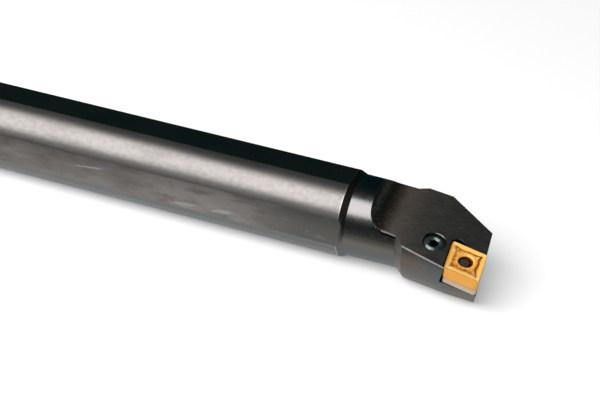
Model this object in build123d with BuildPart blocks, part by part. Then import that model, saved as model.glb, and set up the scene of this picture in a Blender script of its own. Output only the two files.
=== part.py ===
from build123d import *
from math import cos, radians, sin, sqrt, tan
import os

# Left-hand boring bar with a lever-clamped rhombic insert, 95 degree approach.
# The bar lies along +X with its rear end face at X = 0 and its axis at Y = Z = 0. The cutting side
# is -Y and the top flat faces +Z. All sizes are millimetres and degrees.

# Shank
overall_length = 300.0
head_length = 53.2
shank_diameter = 32.0
flat_to_axis = 15.0
rear_chamfer = 1.0
shoulder_setback = 0.5
shoulder_run = 2.4

# Neck, which tapers slightly towards the head
neck_diameter = 30.0
neck_front_diameter = 29.6
neck_length = 20.6

# Head: round sections that shift towards the cutting side
flare_length = 3.6
head_rear_diameter = 34.1
head_rear_shift = 1.0
head_mid_at = 40.0
head_mid_diameter = 35.4
head_mid_shift = 2.9
head_front_diameter = 35.2
head_front_shift = 4.25
front_stock = 1.0

# Cutting corner and the attitude of the seat
functional_width = 22.0
cutting_height = 0.0
approach_angle = 95.0
side_tilt = 12.6
front_tilt = 6.5

# Insert
insert_circle = 12.7
insert_angle = 80.0
insert_thickness = 4.76
insert_nose = 0.8
insert_hole = 5.16
hole_flare = 0.6
land_width = 0.25
breaker_run = 1.25
breaker_depth = 0.32
breaker_corner = 0.4
island_inset = 2.6
bulge_inset = 1.9
bulge_radius = 2.5
tab_inset = 1.6
tab_length = 2.2
tab_width = 1.7

# Shim and the split pin that holds it
shim_thickness = 3.18
shim_inset = 0.15
shim_chamfer = 0.3
pin_diameter = 6.4
pin_wall = 0.7
pin_below_insert = 0.2
pin_above_cavity = 0.24
pin_slit = 1.2

# Head faces
face_below_insert = 0.9
scoop_start = 9.0
scoop_radius = 6.0
bevel_angle = 31.0
bevel_corner_y = 12.6
bevel_corner_at = 33.4
front_face_y_slope = 0.14
front_face_lean = 0.13
front_face_setback = 0.12
face_edge_break = 0.35

# Pocket
wall_land = 1.9
wall_relief = 0.9
corner_relief_diameter = 5.0
corner_relief_along = 1.9
corner_relief_in = 0.2

# Lever screw
screw_along = 13.25
screw_across = 3.25
screw_diameter = 8.0
screw_recess = 0.3
screw_collar = 2.4
groove_diameter = 5.2
screw_crown_diameter = 5.6
screw_crown_drop = 1.0
screw_end_chamfer = 0.8
screw_hole_chamfer = 0.25
socket_size = 3.0
socket_depth = 4.0
socket_mouth = 4.8
socket_mouth_depth = 0.55
screw_lift = 1.0

# Clamping lever
pivot_below_seat = 4.66
knee_diameter = 4.6
lever_width = 4.4
foot_thickness = 2.6
tongue_thickness = 2.0
leg_diameter = 3.4
leg_head_diameter = 3.9
leg_top = 1.4
leg_head_length = 3.0

# Clearances
slip = 0.02
screw_clearance = 0.08
groove_clearance = 0.2
lever_gap = 0.3
leg_gap = 0.1
foot_gap = 0.45

os.makedirs("parts", exist_ok=True)

shoulder = overall_length - head_length
neck_start = shoulder - shoulder_setback + shoulder_run
neck_end = shoulder + neck_length
head_start = neck_end + flare_length
past = 4 * shank_diameter

# Seat plane: origin at the sharp cutting corner, x forward along the side edge, z up out of the insert
lead = radians(approach_angle - 90)
slope_x = tan(radians(front_tilt))
slope_y = tan(radians(side_tilt))
corner = Vector(overall_length, -functional_width, cutting_height)
edge_dir = Vector(cos(lead), -sin(lead), -slope_x * cos(lead) - slope_y * sin(lead))
seat = Plane(origin=corner, x_dir=edge_dir, z_dir=Vector(slope_x, -slope_y, 1))

turn = radians(180 - insert_angle)
edge_length = insert_circle / sin(radians(insert_angle))
edges = (Vector(-edge_length, 0), Vector(edge_length * cos(turn), edge_length * sin(turn)))
centre = (edges[0] + edges[1]) * 0.5
inner_corner = edges[0] + edges[1]


def rhombus(inset=0.0):
    """Corners of the insert's outline, drawn in by inset, in the seat plane."""
    shrink = 1 - 2 * inset / insert_circle
    corners = (Vector(0, 0), edges[0], inner_corner, edges[1])
    return [centre + (point - centre) * shrink for point in corners]


# Lever plane: origin at the insert's hole, x towards the screw
hole = seat.from_local_coords(centre)
toward_screw = Vector(-screw_along, screw_across)
screw_distance = toward_screw.length
screw_at = seat.from_local_coords(centre + toward_screw)
lever_frame = Plane(origin=hole, x_dir=screw_at - hole, z_dir=seat.z_dir)
screw_frame = Plane(origin=screw_at, x_dir=screw_at - hole, z_dir=seat.z_dir)
lever_side = Plane(origin=hole, x_dir=lever_frame.x_dir, z_dir=-lever_frame.y_dir)

floor_depth = insert_thickness + shim_thickness
pivot_depth = floor_depth + pivot_below_seat
screw_top = face_below_insert + screw_recess
tongue_top = pivot_depth - tongue_thickness / 2
groove_top = tongue_top - groove_clearance
groove_bottom = tongue_top + tongue_thickness + groove_clearance
screw_bottom = groove_bottom + screw_collar
lever_foot_top = pivot_depth - foot_thickness / 2
cavity_top = lever_foot_top - screw_lift - lever_gap
cavity_bottom = pivot_depth + knee_diameter / 2 + lever_gap

with BuildPart() as holder_body:
    # Turned shank, shoulder and tapered neck
    with BuildSketch(Plane.XZ) as turned:
        with BuildLine():
            Polyline(
                (0, 0),
                (0, shank_diameter / 2 - rear_chamfer),
                (rear_chamfer, shank_diameter / 2),
                (shoulder - shoulder_setback, shank_diameter / 2),
                (neck_start, neck_diameter / 2),
                (neck_end, neck_front_diameter / 2),
                (neck_end, 0),
                close=True,
            )
        make_face()
    revolve(axis=Axis.X)

    # Flared head
    sections = [
        (neck_end, 0, neck_front_diameter),
        (head_start, head_rear_shift, head_rear_diameter),
        (shoulder + head_mid_at, head_mid_shift, head_mid_diameter),
        (overall_length + front_stock, head_front_shift, head_front_diameter),
    ]
    for x, shift, diameter in sections:
        with BuildSketch(Plane(origin=(x, -shift, 0), x_dir=(0, 1, 0), z_dir=(1, 0, 0))):
            Circle(diameter / 2)
    loft(ruled=True)

    # Flats on the top, the cutting side and the underside; the underside flat runs on below the head
    flats = [
        ((0, 0, 1), neck_start),
        ((0, -1, 0), neck_start),
        ((0, 0, -1), overall_length + past),
    ]
    for direction, reach in flats:
        outward = Plane(origin=(0, 0, 0), x_dir=(1, 0, 0), z_dir=direction)
        with BuildSketch(outward.offset(flat_to_axis)):
            Rectangle(reach, past, align=(Align.MIN, Align.CENTER))
        extrude(amount=past, mode=Mode.SUBTRACT)

    # Top face of the head, parallel to the insert, with its run-out scoop
    face_point = seat.from_local_coords((0, 0, -face_below_insert))
    scoop_x = shoulder + scoop_start + scoop_radius
    scoop_z = face_point.Z - slope_x * (scoop_x - face_point.X) - slope_y * face_point.Y
    across = Vector(0, -1, -slope_y)
    face_side = Plane(
        origin=(scoop_x, 0, scoop_z),
        x_dir=across.cross(seat.z_dir) * -1,
        z_dir=across,
    )
    with BuildSketch(face_side):
        with BuildLine():
            floor_line = Line((0, 0), (past, 0))
            Line(floor_line @ 1, (past, past))
            Line((past, past), (-scoop_radius, past))
            Line((-scoop_radius, past), (-scoop_radius, scoop_radius))
            RadiusArc((-scoop_radius, scoop_radius), (0, 0), -scoop_radius)
        make_face()
    extrude(amount=past, both=True, mode=Mode.SUBTRACT)

    # Bevel on the side away from the cut
    bevel_dir = Vector(sin(radians(bevel_angle)), cos(radians(bevel_angle)), 0)
    bevel_corner = Vector(shoulder + bevel_corner_at, bevel_corner_y, 0)
    bevel_face = Plane(origin=bevel_corner, x_dir=(0, 0, 1), z_dir=bevel_dir)
    with BuildSketch(bevel_face):
        Rectangle(past, past)
    extrude(amount=past, mode=Mode.SUBTRACT)

    # Front face, which leans back below the insert
    front_point = seat.from_local_coords(edges[1]) - Vector(front_face_setback, 0, 0)
    front_face = Plane(
        origin=front_point,
        x_dir=(0, 0, 1),
        z_dir=(1, front_face_y_slope, -front_face_lean),
    )
    with BuildSketch(front_face):
        Rectangle(past, past)
    extrude(amount=past, mode=Mode.SUBTRACT)

    # Insert pocket with straight lands on its walls
    along = Vector(past, 0)
    outward_edge = edges[1] * (-past / edge_length)
    pocket = [
        inner_corner,
        inner_corner + along,
        inner_corner + along + outward_edge,
        inner_corner + outward_edge,
    ]
    with BuildSketch(seat.offset(-floor_depth)):
        Polygon(*pocket, align=None)
    extrude(amount=2 * floor_depth, mode=Mode.SUBTRACT)

    # Relief below the lands, deepest at the floor
    relief_shift = Vector(-wall_relief, wall_relief)
    with BuildSketch(seat.offset(-wall_land)):
        Polygon(*pocket, align=None)
    with BuildSketch(seat.offset(-floor_depth)):
        Polygon(*[point + relief_shift for point in pocket], align=None)
    loft(ruled=True, mode=Mode.SUBTRACT)
    with BuildSketch(seat.offset(-floor_depth)):
        with Locations(inner_corner + Vector(corner_relief_along, corner_relief_in)):
            Circle(corner_relief_diameter / 2)
    extrude(amount=2 * floor_depth, mode=Mode.SUBTRACT)

    # Hole for the split pin, cavity for the lever and threaded hole for its screw
    with BuildSketch(lever_frame.offset(-cavity_bottom)):
        Circle(pin_diameter / 2 + slip)
    extrude(amount=cavity_bottom - floor_depth, mode=Mode.SUBTRACT)
    slot_width = lever_width + 2 * lever_gap
    knee_corner_room = sqrt((slot_width / 2 - leg_gap) ** 2 - (lever_width / 2) ** 2)
    slot_back = slot_width / 2 + knee_diameter / 2 - knee_corner_room
    with BuildSketch(lever_frame.offset(-cavity_bottom)):
        with Locations(((screw_distance - slot_back) / 2, 0)):
            SlotOverall(screw_distance + slot_back, slot_width)
    extrude(amount=cavity_bottom - cavity_top, mode=Mode.SUBTRACT)
    screw_hole_radius = screw_diameter / 2 + screw_clearance
    with BuildSketch(screw_frame.offset(-screw_bottom - lever_gap)):
        Circle(screw_hole_radius)
    extrude(amount=past, mode=Mode.SUBTRACT)
    with BuildSketch(screw_frame.offset(-face_below_insert)):
        Circle(screw_hole_radius + screw_hole_chamfer)
    with BuildSketch(screw_frame.offset(-face_below_insert - screw_hole_chamfer)):
        Circle(screw_hole_radius)
    loft(mode=Mode.SUBTRACT)

    # Broken edge of the head's top face on the cutting side
    top_face = holder_body.faces().filter_by(Axis(hole, seat.z_dir)).sort_by(SortBy.AREA)[-1]
    curved = top_face.outer_wire().edges().filter_by(GeomType.LINE, reverse=True)
    head_curves = curved.filter_by(lambda edge: edge.center().X > head_start)
    chamfer(head_curves.filter_by(lambda edge: edge.center().Y < -flat_to_axis), face_edge_break)

with BuildPart() as insert:
    with BuildSketch(seat.offset(-insert_thickness)) as outline:
        Polygon(*rhombus(), align=None)
        fillet(outline.vertices(), insert_nose)
    extrude(amount=insert_thickness)

    # Moulded chip groove and seating island, the same on both faces
    middle = seat.offset(-insert_thickness / 2)
    with BuildSketch(seat) as rim:
        Polygon(*rhombus(land_width), align=None)
        fillet(rim.vertices(), insert_nose - land_width)
    with BuildSketch(seat.offset(-breaker_depth)) as groove:
        Polygon(*rhombus(land_width + breaker_run), align=None)
        fillet(groove.vertices(), breaker_corner)
    upper_groove = loft(ruled=True, mode=Mode.SUBTRACT)
    with BuildSketch(seat.offset(-breaker_depth)) as island:
        Polygon(*rhombus(island_inset), align=None)
        fillet(island.vertices(), insert_nose)
        inner = rhombus(bulge_inset + bulge_radius)
        for start, end in zip(inner, inner[1:] + inner[:1]):
            with Locations((start + end) * 0.5):
                Circle(bulge_radius)
        for tip in rhombus(tab_inset):
            tab_dir = (tip - centre).normalized()
            root = tip - tab_dir * tab_length
            side = tab_dir.rotate(Axis.Z, 90) * (tab_width / 2)
            Polygon(tip, root + side, centre, root - side, align=None)
    upper_island = extrude(amount=breaker_depth)
    mirror(upper_groove, about=middle, mode=Mode.SUBTRACT)
    mirror(upper_island, about=middle)

    with BuildSketch(seat):
        with Locations(centre):
            Circle(insert_hole / 2)
    extrude(amount=-insert_thickness, mode=Mode.SUBTRACT)
    for level, way in ((0, -1), (-insert_thickness, 1)):
        with BuildSketch(seat.offset(level)):
            with Locations(centre):
                Circle(insert_hole / 2 + hole_flare)
        with BuildSketch(seat.offset(level + way * hole_flare)):
            with Locations(centre):
                Circle(insert_hole / 2)
        loft(mode=Mode.SUBTRACT)

with BuildPart() as shim:
    with BuildSketch(seat.offset(-floor_depth)) as shim_outline:
        Polygon(*rhombus(shim_inset), align=None)
        fillet(shim_outline.vertices(), insert_nose)
        with Locations(centre):
            Circle(pin_diameter / 2 + slip, mode=Mode.SUBTRACT)
    extrude(amount=shim_thickness)
    upper_rim = shim.faces().sort_by(Axis(hole, seat.z_dir))[-1].outer_wire().edges()
    chamfer(upper_rim, shim_chamfer)

with BuildPart() as shim_pin:
    with BuildSketch(lever_frame.offset(-insert_thickness - pin_below_insert)):
        Circle(pin_diameter / 2)
        Circle(pin_diameter / 2 - pin_wall, mode=Mode.SUBTRACT)
        with Locations((-pin_diameter / 2, 0)):
            Rectangle(pin_diameter, pin_slit, mode=Mode.SUBTRACT)
    pin_bottom = cavity_top - pin_above_cavity
    extrude(amount=insert_thickness + pin_below_insert - pin_bottom)

with BuildPart() as lever_screw:
    with BuildSketch(screw_frame.offset(-screw_bottom)):
        Circle(screw_diameter / 2)
    extrude(amount=screw_bottom - screw_top)
    ends = lever_screw.edges().filter_by(GeomType.CIRCLE).sort_by(Axis(screw_at, seat.z_dir))
    chamfer(ends[0], screw_end_chamfer)
    crown = lever_screw.faces().sort_by(Axis(screw_at, seat.z_dir))[-1]
    crown_width = (screw_diameter - screw_crown_diameter) / 2
    chamfer(ends[-1], crown_width, screw_crown_drop, reference=crown)
    with BuildSketch(screw_frame.offset(-groove_bottom)):
        Circle(screw_diameter)
        Circle(groove_diameter / 2, mode=Mode.SUBTRACT)
    extrude(amount=groove_bottom - groove_top, mode=Mode.SUBTRACT)
    with BuildSketch(screw_frame.offset(-screw_top)):
        RegularPolygon(socket_size / 2, 6, major_radius=False)
    extrude(amount=-socket_depth, mode=Mode.SUBTRACT)
    with BuildSketch(screw_frame.offset(-screw_top)):
        Circle(socket_mouth / 2)
    with BuildSketch(screw_frame.offset(-screw_top - socket_mouth_depth)):
        Circle(socket_size / 2)
    loft(mode=Mode.SUBTRACT)

with BuildPart() as clamp_lever:
    # Knee and foot, with a tongue that enters the screw's groove
    tongue_start = screw_distance - screw_diameter / 2 - foot_gap
    with BuildSketch(lever_side):
        with Locations((0, -pivot_depth)):
            Circle(knee_diameter / 2)
        with Locations((tongue_start / 2, -pivot_depth)):
            Rectangle(tongue_start, foot_thickness)
        with Locations(((tongue_start + screw_distance) / 2, -pivot_depth)):
            Rectangle(screw_distance - tongue_start, tongue_thickness)
    extrude(amount=lever_width / 2, both=True)
    with BuildSketch(screw_frame.offset(-past / 2)):
        Circle(groove_diameter / 2 + groove_clearance + leg_gap)
    extrude(amount=past, mode=Mode.SUBTRACT)

    # Upright leg with a barrel head, close to the side of the insert's hole that it pulls on
    leg_offset = insert_hole / 2 - leg_gap - leg_head_diameter / 2
    leg_frame = Plane(
        origin=hole + lever_frame.x_dir * leg_offset,
        x_dir=lever_frame.x_dir,
        z_dir=-lever_frame.y_dir,
    )
    head_foot = -leg_top - leg_head_length
    with BuildSketch(leg_frame):
        with BuildLine():
            Polyline(
                (leg_diameter / 2, head_foot),
                (leg_diameter / 2, -pivot_depth),
                (0, -pivot_depth),
                (0, -leg_top),
                (leg_diameter / 2, -leg_top),
            )
            ThreePointArc(
                (leg_diameter / 2, -leg_top),
                (leg_head_diameter / 2, (head_foot - leg_top) / 2),
                (leg_diameter / 2, head_foot),
            )
        make_face()
    revolve(axis=Axis(leg_frame.origin, seat.z_dir))

holder_body.part.label = "holder_body"
insert.part.label = "insert"
shim.part.label = "shim"
shim_pin.part.label = "shim_pin"
lever_screw.part.label = "lever_screw"
clamp_lever.part.label = "clamp_lever"

for piece in (holder_body, insert, shim, shim_pin, lever_screw, clamp_lever):
    export_step(piece.part, "parts/" + piece.part.label + ".step")
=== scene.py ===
from functools import reduce
from math import cos, radians, sin, tan

import bpy
from mathutils import Matrix, Quaternion, Vector


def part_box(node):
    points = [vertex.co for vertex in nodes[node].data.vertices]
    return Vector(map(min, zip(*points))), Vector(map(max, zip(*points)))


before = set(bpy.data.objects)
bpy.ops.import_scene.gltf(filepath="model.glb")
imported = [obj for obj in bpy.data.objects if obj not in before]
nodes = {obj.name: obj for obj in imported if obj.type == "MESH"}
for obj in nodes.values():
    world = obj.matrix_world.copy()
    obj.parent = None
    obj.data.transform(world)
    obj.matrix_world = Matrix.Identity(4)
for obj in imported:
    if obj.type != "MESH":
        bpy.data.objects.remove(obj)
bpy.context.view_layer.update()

mm = 0.001
edgeSamples = 6  # rays that look for a broken edge
bpy.context.scene.view_settings.view_transform = "Standard"


# A socket with arithmetic, so that shader maths reads as plain expressions
class Wire:
    def __init__(self, graph, socket):
        self.graph = graph
        self.socket = socket

    def maths(self, operation, *others, clamp=False):
        values = {index: other for index, other in enumerate((self,) + others)}
        return self.graph.add("ShaderNodeMath", {"operation": operation, "use_clamp": clamp}, values)

    def __add__(self, other):
        return self.maths("ADD", other)

    def __radd__(self, other):
        return self.maths("ADD", other)

    def __sub__(self, other):
        return self.maths("SUBTRACT", other)

    def __rsub__(self, other):
        return self.graph.add("ShaderNodeMath", {"operation": "SUBTRACT"}, {0: other, 1: self})

    def __mul__(self, other):
        return self.maths("MULTIPLY", other)

    def __rmul__(self, other):
        return self.maths("MULTIPLY", other)

    def __truediv__(self, other):
        return self.maths("DIVIDE", other)

    def __rtruediv__(self, other):
        return self.graph.add("ShaderNodeMath", {"operation": "DIVIDE"}, {0: other, 1: self})

    def __neg__(self):
        return self.maths("MULTIPLY", -1.0)

    def __abs__(self):
        return self.maths("ABSOLUTE")

    def root(self):
        return self.maths("SQRT")

    def lowest(self, other):
        return self.maths("MINIMUM", other)

    def highest(self, other):
        return self.maths("MAXIMUM", other)

    def clamped(self):
        return self.maths("MULTIPLY", 1.0, clamp=True)

    # A noise's swing about its middle value, which is one half
    def swing(self, amount):
        return (self - 0.5) * amount

    # 0 at low and share at high, eased between; low may be the larger one
    def ramp(self, low, high, share=1.0):
        return self.graph.add(
            "ShaderNodeMapRange",
            {"interpolation_type": "SMOOTHSTEP"},
            {"Value": self, "From Min": low, "From Max": high, "To Min": 0.0, "To Max": share},
        )

    # Share within reach of the middle, eased to 0 over the border beyond
    def within(self, middle, reach, border, share=1.0):
        return abs(self - middle).ramp(reach + border, reach, share)


class Graph:
    def __init__(self, tree):
        self.tree = tree
        tree.nodes.clear()

    def add(self, kind, settings=None, sockets=None, out=0):
        node = self.tree.nodes.new(kind)
        for name, value in (settings or {}).items():
            setattr(node, name, value)
        for name, value in (sockets or {}).items():
            if isinstance(value, Wire):
                self.tree.links.new(value.socket, node.inputs[name])
            else:
                node.inputs[name].default_value = value
        return Wire(self, node.outputs[out]) if len(node.outputs) else node

    # The same point of the piece whatever the pose, in millimetres along its own axes
    def place(self, scale=(1.0, 1.0, 1.0)):
        spot = self.add("ShaderNodeTexCoord", out="Object")
        factors = tuple(value / mm for value in scale)
        return self.add("ShaderNodeVectorMath", {"operation": "MULTIPLY"}, {0: spot, 1: factors})

    def parts(self, vector):
        first = self.add("ShaderNodeSeparateXYZ", sockets={0: vector})
        outputs = first.socket.node.outputs
        return [Wire(self, outputs[index]) for index in range(3)]

    def dot(self, vector, direction):
        return self.add(
            "ShaderNodeVectorMath",
            {"operation": "DOT_PRODUCT"},
            {0: vector, 1: tuple(direction)},
            out="Value",
        )

    # Noise with its own scale along each axis, in cells per millimetre
    def noise(self, scale, detail, rough):
        return self.add(
            "ShaderNodeTexNoise",
            sockets={"Vector": self.place(scale), "Scale": 1.0, "Detail": detail, "Roughness": rough},
        )

    # A Mix node on colours, which are its sockets 6 and 7 and its output 2
    def tint(self, first, second, share):
        return self.add(
            "ShaderNodeMix",
            {"data_type": "RGBA"},
            {"Factor": share, 6: first, 7: second},
            out=2,
        )

    # Relief on a surface whose edges are broken by the given radius
    def bump(self, height, strength, distance, edge):
        rounded = self.add("ShaderNodeBevel", {"samples": edgeSamples}, {"Radius": edge})
        return self.add(
            "ShaderNodeBump",
            sockets={"Height": height, "Strength": strength, "Distance": distance, "Normal": rounded},
        )

    def surface(self, **sockets):
        names = {name.replace("_", " "): value for name, value in sockets.items()}
        shader = self.add("ShaderNodeBsdfPrincipled", sockets=names)
        self.add("ShaderNodeOutputMaterial", sockets={"Surface": shader})

    # 1 where the camera sees a surface, straight, mirrored or through glass
    def seen(self):
        straight = self.add("ShaderNodeLightPath", out="Is Camera Ray")
        rays = straight.socket.node.outputs
        mirrored = Wire(self, rays["Is Glossy Ray"])
        through = Wire(self, rays["Is Transmission Ray"])
        return straight.highest(mirrored).highest(through)


def newMaterial(name):
    material = bpy.data.materials.new(name)
    material.use_nodes = True
    return material, Graph(material.node_tree)


def dress(piece, material):
    piece.data.materials.clear()
    piece.data.materials.append(material)


def colour(red, green, blue):
    return (red, green, blue, 1.0)


# Camera at the photographed angle
camera = {
    "place": (0.387020, -0.459206, 0.298293),
    "forward": (-0.28117, 0.80484, -0.52267),
    "up": (-0.23369, 0.47082, 0.85072),
    "lens": 94.56,
    "sensor": 36.0,
    "nearest": 0.01,
}


def setCamera():
    forward = Vector(camera["forward"]).normalized()
    up = Vector(camera["up"])
    right = forward.cross(up).normalized()
    up = right.cross(forward)
    turn = Matrix((right, up, -forward)).transposed()
    bpy.ops.object.camera_add()
    view = bpy.context.object
    view.name = "viewCamera"
    view.matrix_world = Matrix.Translation(camera["place"]) @ turn.to_4x4()
    view.data.lens = camera["lens"]
    view.data.sensor_width = camera["sensor"]
    view.data.clip_start = camera["nearest"]
    bpy.context.scene.camera = view


# Studio: white floor and world, one soft lamp above the bar, and a dark room seen only in reflections
studio = {
    "floorSize": 14.0,
    "floorHeight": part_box("holder_body")[0].z,
    "floorWhite": 0.82,
    "floorGlow": 0.24,
    "worldFill": 0.36,
    "worldSeen": 1.0,
    "lampAim": (0.20, 0.0, 0.0),
    "lampAway": (-0.30, -0.595, 0.748),
    "lampDistance": 1.05,
    "lampTurn": radians(14.0),
    "lampSize": (1.3, 0.84),
    "lampPower": 14.7,
    "roomRadius": 3.0,
    "roomSegments": 64,
    "roomRings": 32,
    "roomDark": (0.001, 0.022, 0.024),
    "windowAt": (1.80, 1.80, -0.50),  # the room ends here, square to the way from the origin
    "tableSize": 6.0,
    "tableHole": 0.1,  # cut into the table and then drawn out to the sheet's size
    "sheetMiddle": 0.15,
    "sheetSize": (0.40, 0.090),
}


# What the steel mirrors besides the lamp: a dark room with a window, and a dark table round the white
# sheet that the bar lies on
def buildDarkRoom():
    low = studio["floorHeight"] + mm
    bpy.ops.object.select_all(action="DESELECT")
    bpy.ops.mesh.primitive_uv_sphere_add(
        segments=studio["roomSegments"],
        ring_count=studio["roomRings"],
        radius=studio["roomRadius"],
    )
    dome = bpy.context.object
    dome.name = "darkRoom"
    bpy.ops.object.mode_set(mode="EDIT")
    bpy.ops.mesh.bisect(plane_co=(0, 0, low), plane_no=(0, 0, 1), clear_inner=True)
    bpy.ops.mesh.select_all(action="SELECT")
    window = Vector(studio["windowAt"])
    bpy.ops.mesh.bisect(plane_co=window, plane_no=window.normalized(), clear_outer=True)
    bpy.ops.object.mode_set(mode="OBJECT")
    bpy.ops.object.select_all(action="DESELECT")
    middle = Vector((studio["sheetMiddle"], 0.0, low))
    bpy.ops.mesh.primitive_plane_add(size=studio["tableSize"], location=middle)
    table = bpy.context.object
    table.name = "darkTable"
    bpy.ops.object.transform_apply(location=True)
    bpy.ops.object.mode_set(mode="EDIT")
    bpy.ops.mesh.select_all(action="SELECT")
    bpy.ops.mesh.inset(thickness=(studio["tableSize"] - studio["tableHole"]) / 2)
    opening = [size / studio["tableHole"] for size in studio["sheetSize"]]
    bpy.ops.transform.resize(value=(*opening, 1.0), center_override=middle)
    bpy.ops.mesh.delete(type="FACE")
    bpy.ops.object.mode_set(mode="OBJECT")
    material, graph = newMaterial("roomDark")
    shade = graph.add("ShaderNodeEmission", sockets={"Color": colour(*studio["roomDark"])})
    graph.add("ShaderNodeOutputMaterial", sockets={"Surface": shade})
    for board in (dome, table):
        dress(board, material)
        board.visible_camera = False
        board.visible_diffuse = False
        board.visible_transmission = False
        board.visible_shadow = False


def buildStudio():
    bpy.ops.mesh.primitive_plane_add(size=studio["floorSize"], location=(0, 0, studio["floorHeight"]))
    floor = bpy.context.object
    floor.name = "studioFloor"
    bpy.ops.object.transform_apply(location=True)
    material, graph = newMaterial("floorWhite")
    white = studio["floorWhite"]
    matt = graph.add("ShaderNodeBsdfDiffuse", sockets={"Color": colour(white, white, white)})
    glow = graph.add("ShaderNodeEmission", sockets={"Strength": graph.seen() * studio["floorGlow"]})
    both = graph.add("ShaderNodeAddShader", sockets={0: matt, 1: glow})
    graph.add("ShaderNodeOutputMaterial", sockets={"Surface": both})
    dress(floor, material)

    world = bpy.data.worlds.new("studioWorld")
    world.use_nodes = True
    bpy.context.scene.world = world
    graph = Graph(world.node_tree)
    strength = graph.seen() * (studio["worldSeen"] - studio["worldFill"]) + studio["worldFill"]
    shade = graph.add("ShaderNodeBackground", sockets={"Color": colour(1, 1, 1), "Strength": strength})
    graph.add("ShaderNodeOutputWorld", sockets={"Surface": shade})

    buildDarkRoom()

    aim = Vector(studio["lampAim"])
    away = Vector(studio["lampAway"]).normalized()
    bpy.ops.object.light_add(type="AREA", location=aim + away * studio["lampDistance"])
    lamp = bpy.context.object
    lamp.name = "softLamp"
    facing = (-away).to_track_quat("-Z", "Y") @ Quaternion((0, 0, 1), studio["lampTurn"])
    lamp.rotation_euler = facing.to_euler()
    lamp.data.shape = "RECTANGLE"
    lamp.data.size, lamp.data.size_y = studio["lampSize"]
    lamp.data.energy = studio["lampPower"]


# Places on the bar, in millimetres; a border is a pair, from where it starts to where it is complete
bar = {
    # Along the bar, the shoulder from the rear end and the rest from the shoulder
    "shoulder": 246.8,
    "shankBorder": (-0.45, -0.55),
    "neckStart": 1.9,
    "shoulderBorder": (2.0, 1.9),
    "millingBorder": (7.0, 8.0),
    "headBorder": (20.5, 20.9),
    "scoopAt": 15.0,
    # Out from the axis, and how far under the neck's skin the milling shows
    "flatBorder": (14.94, 14.98),
    "neckRadius": 15.0,
    "neckTaper": 0.0107,
    "cutInBorder": (0.04, 0.12),
    # Cutting corner, and how the seat lies to the bar
    "corner": (300.0, -22.0, 0.0),
    "lead": radians(5.0),
    "frontSlope": tan(radians(6.5)),
    "sideSlope": tan(radians(12.6)),
    # Milled top face and its run-out scoop; a band is its middle, half its width and its border
    "headTop": -0.9,
    "headTopBand": (0.0, 0.03, 0.03),
    "scoopRadius": 6.0,
    "scoopSkin": (0.10, 0.05),
    "scoopEnd": (0.0, -0.05),
    # In the seat's directions
    "insertHole": (-7.568, 6.35),
    "insertHalf": 6.35,
    "insertTurn": radians(100.0),
    "pocketBack": (2.4, 2.2),
    "pocketFront": (5.8, 5.6),
    "pocketSide": (-6.0, -5.8),
    "pocketTop": (-0.05, -0.25),
    "pocketFloor": (-8.2, -8.1),
    "screwAxis": (-20.818, 9.6),
    "screwHole": (4.37, 4.33),
}
seatNormal = Vector((bar["frontSlope"], -bar["sideSlope"], 1.0)).normalized()
seatAlong = Vector((
    cos(bar["lead"]),
    -sin(bar["lead"]),
    -bar["frontSlope"] * cos(bar["lead"]) - bar["sideSlope"] * sin(bar["lead"]),
)).normalized()
seatAcross = seatNormal.cross(seatAlong)

# The run-out scoop's line of tangency crosses the top face here, square to this direction
scoopAlong = seatNormal.cross(Vector((0.0, -1.0, -bar["sideSlope"]))).normalized()
scoopPoint = Vector((bar["shoulder"] + bar["scoopAt"], 0.0, 0.0))
scoopPoint.z = (bar["headTop"] - (scoopPoint - Vector(bar["corner"])).dot(seatNormal)) / seatNormal.z


# Millimetres along the insert's side edge, across it and up out of it, from the cutting corner
def seatPlace(graph):
    away = tuple(-value for value in bar["corner"])
    spot = graph.add("ShaderNodeVectorMath", {"operation": "ADD"}, {0: graph.place(), 1: away})
    return [graph.dot(spot, direction) for direction in (seatAlong, seatAcross, seatNormal)]


# Distances from the insert's middle, square to its leading edges and to its side edges
def fromInsert(seatX, seatY):
    holeX, holeY = bar["insertHole"]
    turn = bar["insertTurn"]
    return (seatX - holeX) * sin(turn) - (seatY - holeY) * cos(turn), seatY - holeY


def distance(first, second):
    return (first * first + second * second).root()


# Millimetres from a bent line through the given points
def fromLine(alongX, alongY, points):
    gaps = []
    for (startX, startY), (endX, endY) in zip(points, points[1:]):
        reachX, reachY = endX - startX, endY - startY
        length = reachX * reachX + reachY * reachY
        offX, offY = alongX - startX, alongY - startY
        share = (offX * (reachX / length) + offY * (reachY / length)).clamped()
        gaps.append(distance(offX - share * reachX, offY - share * reachY))
    return reduce(Wire.lowest, gaps)


# 1 on the middle of every disc, eased to 0 at its rim; core is the share of the radius that is full
def onDiscs(alongX, alongY, discs, core):
    shares = [distance(alongX - x, alongY - y).ramp(radius, radius * core) for x, y, radius in discs]
    return reduce(Wire.highest, shares)


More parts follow.
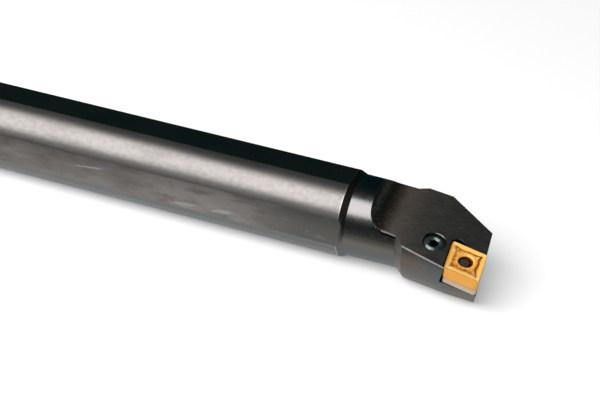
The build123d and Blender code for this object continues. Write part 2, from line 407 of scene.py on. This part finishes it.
# Dark tool steel, with the finish that each tool left on it. A noise is its scale along each axis, detail
# and roughness. A pair is where a tone starts and where it is full, by place or by a noise's value, and a
# band is its middle, half its width and its border. One number more is the strength.
steel = {
    "cloud": ((0.035, 0.11, 0.11), 4.0, 0.6),
    "patch": ((0.09, 0.30, 0.30), 5.0, 0.65),
    "mottle": ((0.55, 0.8, 0.8), 3.0, 0.6),
    "streaks": ((0.20, 2.4, 2.4), 3.0, 0.6),
    "turned": ((6.0, 0.12, 0.12), 2.0, 0.5),
    "grain": ((2.6, 2.6, 2.6), 3.0, 0.6),
    # Ground shank, with painted shade darker and cooler towards the bottom
    "ground": colour(0.198, 0.181, 0.172),
    "groundLow": colour(0.120, 0.126, 0.127),
    "groundLowAt": (-4.0, -7.0),
    "groundDull": colour(0.125, 0.122, 0.118),
    "groundClouds": (0.52, 0.72, 0.5),
    "groundMottle": (0.34, 0.74, 0.42),
    "groundRough": 0.325,
    # Side flat, its middle and front, and painted highlights along the lines where it meets the round
    "specks": ((-6.0, 1.5), (-3.0, -4.0), (-72.0, 5.0), (-34.0, 3.0), (-51.0, -2.5)),
    "speckRim": (0.45, 0.20),
    # Side flat, its middle and front, and the rubbed lines where it meets the round
    "side": colour(0.165, 0.150, 0.140),
    "sideMiddle": colour(0.215, 0.200, 0.190),
    "sideMiddleBand": (-50.0, 12.0, 26.0),
    "sideFront": colour(0.102, 0.103, 0.098),
    "sideFrontAt": (-48.0, -8.0),
    "sideStain": colour(0.120, 0.100, 0.088),
    "sideStainPatches": (0.48, 0.70, 0.7),
    "sideScuff": colour(0.270, 0.285, 0.285),
    "sideScuffPatches": (0.50, 0.36, 0.22),
    "sideEdgeHighlight": colour(0.190, 0.250, 0.255),
    "sideEdgeHighlightBand": (5.52, 0.08, 0.14),
    "sideEdgeHighlightGrain": (0.35, 0.60),
    "sideEdgeHighlightFrom": (-60.0, -20.0, 0.8),
    "sideRough": 0.30,
    # Scuffs: along, height, half their length and half their height
    "scuff": colour(0.340, 0.375, 0.380),
    "scuffs": ((-59.0, -4.1, 6.0, 0.75), (-44.5, -3.4, 5.0, 0.95), (-98.0, 1.2, 7.0, 0.5)),
    "scuffSlope": 0.12,
    "scuffRim": (1.1, 0.4, 0.8),
    "scuffStreaks": (0.36, 0.56),
    # Shoulder, with painted shade: dark above, paler below and at its end towards the shank
    "shoulder": colour(0.038, 0.031, 0.028),
    "shoulderLow": colour(0.115, 0.122, 0.119),
    "shoulderLowAt": (1.5, -4.0),
    "shoulderPaleEndAt": (0.9, 0.4, 0.8),
    "shoulderPaleEndHeight": (7.0, 5.0),
    "shoulderRough": 0.45,
    # A painted highlight along the shoulder's edge
    "shoulderEdgeBand": (-0.65, 0.10, 0.15, 0.7),
    # Turned neck, toned by height as painted light: lighter on top, painted dark reflection bands below the
    # highlight, and painted shade darker and bluer towards the bottom
    "neck": colour(0.178, 0.166, 0.166),
    "neckMiddle": colour(0.135, 0.125, 0.113),
    "neckTopAt": (1.0, 6.0),
    "neckDark": colour(0.078, 0.077, 0.068),
    "neckDarkBelow": (2.5, 1.3),
    "neckDarkAbove": (-2.6, 0.2),
    "neckTealReflection": colour(0.024, 0.050, 0.050),
    "neckTealReflectionMottle": (0.36, 0.66, 0.6),
    "neckTealReflectionBand": (3.7, 0.9, 1.5),
    "neckLow": colour(0.106, 0.113, 0.115),
    "neckLowAt": (-2.0, -6.0),
    "neckBottom": colour(0.074, 0.084, 0.088),
    "neckBottomAt": (-5.0, -9.5),
    "neckRough": 0.25,
    "neckRougherAt": (6.0, 3.0, 0.08),
    # Burr along the edge of the milled face, painted as a highlight, with its painted shadow
    "burrAcross": (6.0, 8.0),
    "burrAlongBand": (17.8, 2.6, 0.4),
    "burrBand": (-0.15, 0.20, 0.12),
    "burrShadowBand": (-0.80, 0.20, 0.30, 0.85),
    "burrRough": 0.35,
    # Head
    "head": colour(0.120, 0.119, 0.113),
    "headRust": colour(0.140, 0.108, 0.092),
    "headRustPatches": (0.48, 0.62),
    "headBlue": colour(0.096, 0.116, 0.119),
    "headBluePatches": (0.47, 0.36),
    "headDark": colour(0.072, 0.068, 0.064),
    "headDarkClouds": (0.50, 0.66, 0.4),
    "headDarkMottle": (0.50, 0.72, 0.3),
    "headRough": 0.42,
    # Milled top face, and painted shade darkening into its scoop
    "milled": colour(0.300, 0.232, 0.200),
    "milledFront": colour(0.186, 0.170, 0.148),
    "milledFrontAt": (18.0, 30.0),
    "scoop": colour(0.092, 0.063, 0.044),
    "scoopAt": (4.0, -0.6),
    "scoopBack": colour(0.030, 0.036, 0.029),
    "scoopBackAt": (0.2, -3.4),
    "streak": colour(0.40, 0.36, 0.34),
    "paleStreaks": (0.52, 0.74, 0.5),
    "darkStreaks": (0.46, 0.30, 0.35),
    "milledRough": 0.55,
    "milledFrontRough": 0.47,
    "milledRoughAt": (18.0, 44.0),
    "holeRough": 0.30,
    # Worn and dusty places with painted highlights on edges, and dark streaks with painted shade in
    # recesses, under the burr and beside the insert
    "wornAndSheen": colour(0.36, 0.35, 0.34),
    "grimeAndShade": colour(0.012, 0.010, 0.010),
    "pocketShade": (0.95, 0.25, 0.9),
    # Unevenness
    "cloudRough": 0.14,
    "mottleRough": 0.12,
    "turnedMarks": 1.6,
    "grainMarks": 0.5,
    "relief": 0.15,
    "reliefDepth": 0.02 * mm,
    "edgeRadius": 0.15 * mm,
}


def makeSteel():
    material, graph = newMaterial("darkToolSteel")
    x, y, z = graph.parts(graph.place())
    along = x - bar["shoulder"]
    seatX, seatY, lifted = seatPlace(graph)
    high = lifted - bar["headTop"]

    onShank = along.ramp(*bar["shankBorder"])
    onShoulder = along.ramp(*bar["shoulderBorder"]) * (1 - onShank)
    onHead = along.ramp(*bar["headBorder"])
    onSide = (-y).ramp(*bar["flatBorder"]) * onShank
    onFlat = z.ramp(*bar["flatBorder"]) * onShank

    # The run-out scoop is a cylinder across the bar, tangent to the milled top face
    back = graph.dot(graph.place(), scoopAlong) - scoopPoint.dot(scoopAlong)
    onScoop = distance(back, high - bar["scoopRadius"]).within(bar["scoopRadius"], *bar["scoopSkin"])
    onScoop = onScoop * back.ramp(*bar["scoopEnd"])
    below = bar["neckRadius"] - (along - bar["neckStart"]) * bar["neckTaper"] - distance(y, z)
    cutIn = below.ramp(*bar["cutInBorder"]).highest(onHead)
    onMilled = high.within(*bar["headTopBand"]).highest(onScoop) * cutIn * along.ramp(*bar["millingBorder"])

    holeX, holeY = bar["screwAxis"]
    inHole = distance(seatX - holeX, seatY - holeY).ramp(*bar["screwHole"]) * onHead

    # Painted shade where the top face meets the insert, and in the pocket behind it
    u, v = fromInsert(seatX, seatY)
    outside = (-u).highest(v) - bar["insertHalf"]
    nearPocketShade = outside.ramp(*steel["pocketShade"]) * onMilled
    inPocket = outside.ramp(*bar["pocketBack"]) * u.ramp(*bar["pocketFront"]) * v.ramp(*bar["pocketSide"])
    inPocket = inPocket * high.ramp(*bar["pocketTop"]) * lifted.ramp(*bar["pocketFloor"])

    cloud = graph.noise(*steel["cloud"])
    patch = graph.noise(*steel["patch"])
    mottle = graph.noise(*steel["mottle"])
    streaks = graph.noise(*steel["streaks"])
    turned = graph.noise(*steel["turned"])
    grain = graph.noise(*steel["grain"])

    # Ground shank, with painted shade towards the bottom, and its side flat, stained and scuffed, with
    # painted highlights along its edges
    shank = graph.tint(steel["ground"], steel["groundLow"], z.ramp(*steel["groundLowAt"]))
    shank = graph.tint(shank, steel["groundDull"], cloud.ramp(*steel["groundClouds"]))
    shank = graph.tint(shank, steel["groundDull"], mottle.ramp(*steel["groundMottle"]))
    for middle, across in steel["specks"]:
        share = distance(along - middle, y - across).ramp(*steel["speckRim"]) * onFlat
        shank = graph.tint(shank, steel["wornAndSheen"], share)
    side = graph.tint(steel["side"], steel["sideMiddle"], along.within(*steel["sideMiddleBand"]))
    side = graph.tint(side, steel["sideFront"], along.ramp(*steel["sideFrontAt"]))
    side = graph.tint(side, steel["sideStain"], patch.ramp(*steel["sideStainPatches"]))
    side = graph.tint(side, steel["sideScuff"], patch.ramp(*steel["sideScuffPatches"]))
    for middle, height, long, tall in steel["scuffs"]:
        level = z - height - (along - middle) * steel["scuffSlope"]
        share = distance((along - middle) / long, level / tall).ramp(*steel["scuffRim"])
        side = graph.tint(side, steel["scuff"], share * streaks.ramp(*steel["scuffStreaks"]))
    # Painted highlight along the side flat's edges
    edge = abs(z).within(*steel["sideEdgeHighlightBand"]) * grain.ramp(*steel["sideEdgeHighlightGrain"])
    side = graph.tint(side, steel["sideEdgeHighlight"], edge * along.ramp(*steel["sideEdgeHighlightFrom"]))

    # Milled top face, with painted shade in the scoop
    milled = graph.tint(steel["milled"], steel["milledFront"], along.ramp(*steel["milledFrontAt"]))
    milled = graph.tint(milled, steel["scoop"], back.ramp(*steel["scoopAt"]))
    milled = graph.tint(milled, steel["scoopBack"], back.ramp(*steel["scoopBackAt"]))
    milled = graph.tint(milled, steel["streak"], streaks.ramp(*steel["paleStreaks"]))
    milled = graph.tint(milled, steel["grimeAndShade"], streaks.ramp(*steel["darkStreaks"]))
    # Painted shade along the edge of the insert
    milled = graph.tint(milled, steel["grimeAndShade"], nearPocketShade)

    # Turned neck, with painted light by height: a lighter top, painted dark reflection bands and painted
    # shade towards the bottom; a burr along the edge of the top face is painted as a highlight, with its
    # painted shadow
    darkBand = z.ramp(*steel["neckDarkBelow"]) * z.ramp(*steel["neckDarkAbove"])
    neckTealReflections = mottle.ramp(*steel["neckTealReflectionMottle"]) * z.within(*steel["neckTealReflectionBand"])
    besideFace = (-y).ramp(*steel["burrAcross"]) * along.within(*steel["burrAlongBand"])
    # The burr is a painted highlight, and its shadow a painted shadow
    burr = high.within(*steel["burrBand"]) * besideFace
    burrShadow = high.within(*steel["burrShadowBand"]) * besideFace
    # Painted light by height: lighter on top, darker and bluer towards the bottom
    neck = graph.tint(steel["neckMiddle"], steel["neck"], z.ramp(*steel["neckTopAt"]))
    # Painted dark reflection bands on the neck, below its highlight
    neck = graph.tint(neck, steel["neckDark"], darkBand)
    neck = graph.tint(neck, steel["neckTealReflection"], neckTealReflections)
    neck = graph.tint(neck, steel["neckLow"], z.ramp(*steel["neckLowAt"]))
    neck = graph.tint(neck, steel["neckBottom"], z.ramp(*steel["neckBottomAt"]))
    neck = graph.tint(neck, steel["grimeAndShade"], burrShadow)
    neck = graph.tint(neck, steel["wornAndSheen"], burr)

    # Painted shade: the shoulder is paler below and at its end towards the shank
    paleEnd = along.ramp(*steel["shoulderPaleEndAt"]) * z.ramp(*steel["shoulderPaleEndHeight"])
    paler = z.ramp(*steel["shoulderLowAt"]).highest(paleEnd)
    shoulder = graph.tint(steel["shoulder"], steel["shoulderLow"], paler)

    darker = cloud.ramp(*steel["headDarkClouds"]).highest(mottle.ramp(*steel["headDarkMottle"]))
    head = graph.tint(steel["head"], steel["headRust"], patch.ramp(*steel["headRustPatches"]))
    head = graph.tint(head, steel["headBlue"], patch.ramp(*steel["headBluePatches"]))
    head = graph.tint(head, steel["headDark"], darker)

    tone = graph.tint(neck, shank, onShank)
    tone = graph.tint(tone, shoulder, onShoulder)
    tone = graph.tint(tone, side, onSide)
    tone = graph.tint(tone, head, onHead)
    tone = graph.tint(tone, milled, onMilled)
    # Painted shade in the pocket behind the insert
    tone = graph.tint(tone, steel["grimeAndShade"], inPocket)
    # Painted highlight along the shoulder's edge
    tone = graph.tint(tone, steel["wornAndSheen"], along.within(*steel["shoulderEdgeBand"]) * (1 - onSide))

    rough = onShank * (steel["groundRough"] - steel["neckRough"]) + steel["neckRough"]
    rough = rough + onShoulder * (steel["shoulderRough"] - steel["neckRough"])
    rough = rough + onSide * (steel["sideRough"] - steel["groundRough"])
    rough = rough + onHead * (steel["headRough"] - steel["neckRough"])
    smoother = along.ramp(*steel["milledRoughAt"]) * (steel["milledFrontRough"] - steel["milledRough"])
    rough = rough * (1 - onMilled) + onMilled * (smoother + steel["milledRough"])
    rough = rough * (1 - inHole) + inHole * steel["holeRough"]
    onNeck = (1 - onHead) * (1 - onShoulder) * (1 - onShank) * (1 - onMilled)
    rough = rough + onNeck * (z.ramp(*steel["neckRougherAt"]) + burr * steel["burrRough"])
    rough = rough + cloud.swing(steel["cloudRough"]) + mottle.swing(steel["mottleRough"])

    marks = turned * (1 - onHead) * steel["turnedMarks"] + streaks * onMilled + grain * steel["grainMarks"]
    graph.surface(
        Base_Color=tone,
        Metallic=1.0,
        Roughness=rough,
        Normal=graph.bump(marks, steel["relief"], steel["reliefDepth"], steel["edgeRadius"]),
    )
    return material


# Golden coating of the insert: pale on the chip groove's slopes, with painted highlights on the near and far
# slopes and on gleams, and painted shade in its furrow, hollows and hole.
# Its noises, borders and stains are written as the steel's are, and its discs as place and radius.
coating = {
    "grain": ((4.0, 4.0, 4.0), 4.0, 0.6),
    "cloud": ((0.7, 0.7, 0.7), 4.0, 0.6),
    "topAt": (-0.50, -0.40),
    "flankAt": (0.10, 0.04),
    # Flanks, with a darker line below the cutting edge
    "flank": colour(0.74, 0.332, 0.043),
    "flankLow": colour(0.72, 0.345, 0.075),
    "flankLowAt": (-3.2, -4.6),
    "flankClouds": (0.50, 0.70, 0.3),
    "edge": colour(0.56, 0.21, 0.022),
    "edgeAt": (-0.16, 0.10, 0.12),
    # Groove's slopes, brighter on the near and far sides by a painted highlight, and the rim beside the
    # pocket
    "slope": colour(0.98, 0.550, 0.115),
    "slopeAt": (1.75, 1.25),
    "slopeClouds": (0.54, 0.70, 0.6),
    "slopeSheen": colour(1.00, 0.650, 0.215),
    "slopeSheenNear": (4.2, 5.4),
    "slopeSheenFar": (4.2, 5.4, 0.5),
    "slopeSheenClouds": (0.30, 0.56),
    "pocketRim": (5.75, 6.05, 0.8),
    # Island, with a pale ring round the hole, and painted shade down the hole
    "gold": colour(0.80, 0.365, 0.060),
    "deep": colour(0.58, 0.190, 0.020),
    "deepClouds": (0.46, 0.66, 0.8),
    "ring": colour(0.94, 0.500, 0.125),
    "ringAt": (3.8, 3.3),
    "boreShade": colour(0.12, 0.030, 0.005),
    "boreAt": (2.83, 2.58),
    "boreDepth": (-0.45, -0.95),
    # Furrow between groove and island, drawn in one quarter between the insert's diagonals; it and the
    # hollows are darkened as painted shade
    "furrow": colour(0.30, 0.085, 0.005),
    "furrowLine": (
        (7.6, 0.1), (6.3, 0.6), (5.1, 1.0), (4.2, 1.75), (3.6, 2.5),
        (2.9, 3.3), (2.2, 3.85), (1.3, 4.35), (0.6, 5.3), (0.0, 6.2),
    ),
    "furrowWidth": (0.50, 0.18),
    "furrowFaintNear": (2.0, 5.0, 0.40),
    "furrowFaintBack": (1.5, 4.5, 0.35),
    "hollows": (
        (-11.0, 2.4, 1.00), (-12.5, 10.8, 0.85), (-11.4, 10.3, 0.60), (-11.5, 9.4, 0.50), (-3.8, 11.0, 0.45),
        (-11.5, 6.5, 0.60), (-11.2, 5.0, 0.60), (-9.1, 2.8, 0.50), (-7.7, 2.5, 0.40), (-6.2, 2.5, 0.50),
        (-8.0, 10.5, 0.60), (-2.4, 2.6, 0.50),
    ),
    "hollowCore": 0.3,
    "hollowShare": 0.95,
    # Painted highlights
    "gleam": colour(1.00, 0.830, 0.420),
    "gleams": (
        (-4.6, 9.5, 0.80), (-12.9, 9.2, 0.70), (-11.6, 8.2, 0.60), (-10.9, 0.9, 1.20), (-3.0, 1.4, 1.20),
    ),
    "gleamCore": 0.2,
    "gleamLeast": 0.2,
    # Surface
    "metallic": 0.12,
    "specular": 0.35,
    "roughness": 0.38,
    "grainRough": 0.16,
    "grainMarks": 0.4,
    "relief": 0.35,
    "reliefDepth": 0.05 * mm,
    "edgeRadius": 0.18 * mm,
}


def makeCoating():
    material, graph = newMaterial("goldenCoating")
    seatX, seatY, lifted = seatPlace(graph)
    u, v = fromInsert(seatX, seatY)
    inward = bar["insertHalf"] - abs(u).highest(abs(v))
    onTop = lifted.ramp(*coating["topAt"])
    onFlank = inward.ramp(*coating["flankAt"])
    holeX, holeY = bar["insertHole"]
    offX, offY = seatX - holeX, seatY - holeY
    radius = distance(offX, offY)
    inBore = radius.ramp(*coating["boreAt"]) * lifted.ramp(*coating["boreDepth"])
    grain = graph.noise(*coating["grain"])
    cloud = graph.noise(*coating["cloud"])

    # The furrow repeats over the four quarters between the insert's diagonals
    reach = Vector(bar["insertHole"]).length
    longWay = abs(offX * (holeX / reach) + offY * (holeY / reach))
    shortWay = abs(offX * (holeY / reach) - offY * (holeX / reach))
    furrow = fromLine(longWay, shortWay, coating["furrowLine"]).ramp(*coating["furrowWidth"])
    furrow = furrow * (1 - (-v).ramp(*coating["furrowFaintNear"]))
    furrow = furrow * (1 - (-u).ramp(*coating["furrowFaintBack"]))
    hollow = onDiscs(seatX, seatY, coating["hollows"], coating["hollowCore"])
    # Painted highlights where the groove's rounded form catches the light
    gleam = onDiscs(seatX, seatY, coating["gleams"], coating["gleamCore"])
    gleam = gleam * (grain * (1 - coating["gleamLeast"]) + coating["gleamLeast"])

    # Painted highlight on the near and far slopes
    slopeSheen = (-v).ramp(*coating["slopeSheenNear"]).highest(v.ramp(*coating["slopeSheenFar"]))
    slope = graph.tint(coating["slope"], coating["slopeSheen"], slopeSheen * cloud.ramp(*coating["slopeSheenClouds"]))
    slope = graph.tint(slope, coating["gold"], cloud.ramp(*coating["slopeClouds"]))
    island = graph.tint(coating["gold"], coating["deep"], cloud.ramp(*coating["deepClouds"]))
    top = graph.tint(island, coating["ring"], radius.ramp(*coating["ringAt"]))
    top = graph.tint(top, slope, inward.ramp(*coating["slopeAt"]))
    top = graph.tint(top, coating["deep"], (-u).ramp(*coating["pocketRim"]))
    # Painted shade in the hollows and the furrow, and painted highlights on the gleams
    top = graph.tint(top, coating["furrow"], hollow * coating["hollowShare"])
    top = graph.tint(top, coating["gleam"], gleam)
    top = graph.tint(top, coating["furrow"], furrow)
    flank = graph.tint(coating["flank"], coating["flankLow"], lifted.ramp(*coating["flankLowAt"]))
    flank = graph.tint(flank, coating["deep"], cloud.ramp(*coating["flankClouds"]))
    tone = graph.tint(flank, top, onTop * (1 - onFlank))
    tone = graph.tint(tone, coating["edge"], lifted.within(*coating["edgeAt"]) * onFlank)
    # Painted shade down the hole
    tone = graph.tint(tone, coating["boreShade"], inBore)
    marks = grain * coating["grainMarks"] - hollow - furrow
    graph.surface(
        Base_Color=tone,
        Metallic=coating["metallic"],
        Specular_IOR_Level=coating["specular"],
        Roughness=grain.swing(coating["grainRough"]) + coating["roughness"],
        Normal=graph.bump(marks, coating["relief"], coating["reliefDepth"], coating["edgeRadius"]),
    )
    return material


# Ground carbide of the shim, with grinding lines along its edge, gold rubbed off on its top and painted
# shade along its bottom
shimFinish = {
    "lines": ((0.5, 0.5, 6.0), 3.0, 0.6),
    "pale": colour(0.54, 0.430, 0.345),
    "dark": colour(0.42, 0.335, 0.275),
    "darkLines": (0.42, 0.70, 0.8),
    "gold": colour(0.58, 0.310, 0.105),
    "goldAt": (-6.76, -4.96),
    # Painted shade along the bottom, where the shim sits on the holder
    "edge": colour(0.12, 0.10, 0.09),
    "edgeAt": (-7.44, -7.74),
    "metallic": 0.5,
    "roughness": 0.38,
    "lineRough": 0.20,
    "relief": 0.20,
    "reliefDepth": 0.02 * mm,
    "edgeRadius": 0.10 * mm,
}


def makeCarbide():
    material, graph = newMaterial("groundCarbide")
    lifted = seatPlace(graph)[2]
    lines = graph.noise(*shimFinish["lines"])
    tone = graph.tint(shimFinish["pale"], shimFinish["dark"], lines.ramp(*shimFinish["darkLines"]))
    tone = graph.tint(tone, shimFinish["gold"], lifted.ramp(*shimFinish["goldAt"]))
    # Painted shade along the shim's bottom
    tone = graph.tint(tone, shimFinish["edge"], lifted.ramp(*shimFinish["edgeAt"]))
    relief = (shimFinish["relief"], shimFinish["reliefDepth"], shimFinish["edgeRadius"])
    graph.surface(
        Base_Color=tone,
        Metallic=shimFinish["metallic"],
        Roughness=lines.swing(shimFinish["lineRough"]) + shimFinish["roughness"],
        Normal=graph.bump(lines, *relief),
    )
    return material


# Blackened screw, bare steel lever and spring steel pin, with painted shade down the screw's socket
smallSteel = {
    "oiledBlack": {
        "tone": colour(0.120, 0.160, 0.158),
        "dull": colour(0.060, 0.095, 0.094),
        "metallic": 0.82,
        "roughness": 0.32,
    },
    "leverSteel": {
        "tone": colour(0.400, 0.380, 0.280),
        "dull": colour(0.240, 0.220, 0.160),
        "metallic": 1.0,
        "roughness": 0.40,
    },
    "springSteel": {
        "tone": colour(0.220, 0.210, 0.210),
        "dull": colour(0.120, 0.120, 0.120),
        "metallic": 1.0,
        "roughness": 0.34,
    },
    "cloud": ((0.8, 0.8, 0.8), 4.0, 0.6),
    "dullClouds": (0.40, 0.72),
    "cloudRough": 0.16,
    "grain": ((5.0, 5.0, 5.0), 2.0, 0.6),
    "relief": (0.15, 0.02 * mm, 0.12 * mm),  # strength, depth and the radius of broken edges
    # Painted shade down the hex socket
    "socketShade": colour(0.006, 0.009, 0.011),
    "socketAt": (2.00, 1.80),
    "socketDepth": (-1.75, -2.0),
}


def makeSmallSteel(name, socket=False):
    finish = smallSteel[name]
    material, graph = newMaterial(name)
    cloud = graph.noise(*smallSteel["cloud"])
    grain = graph.noise(*smallSteel["grain"])
    tone = graph.tint(finish["tone"], finish["dull"], cloud.ramp(*smallSteel["dullClouds"]))
    if socket:
        seatX, seatY, lifted = seatPlace(graph)
        axisX, axisY = bar["screwAxis"]
        inSocket = distance(seatX - axisX, seatY - axisY).ramp(*smallSteel["socketAt"])
        inSocket = inSocket * lifted.ramp(*smallSteel["socketDepth"])
        tone = graph.tint(tone, smallSteel["socketShade"], inSocket)
    graph.surface(
        Base_Color=tone,
        Metallic=finish["metallic"],
        Roughness=cloud.swing(smallSteel["cloudRough"]) + finish["roughness"],
        Normal=graph.bump(grain, *smallSteel["relief"]),
    )
    return material


print("camera and studio")
setCamera()
buildStudio()

print("materials")
dress(nodes["holder_body"], makeSteel())
dress(nodes["insert"], makeCoating())
dress(nodes["shim"], makeCarbide())
dress(nodes["shim_pin"], makeSmallSteel("springSteel"))
dress(nodes["lever_screw"], makeSmallSteel("oiledBlack", socket=True))
dress(nodes["clamp_lever"], makeSmallSteel("leverSteel"))
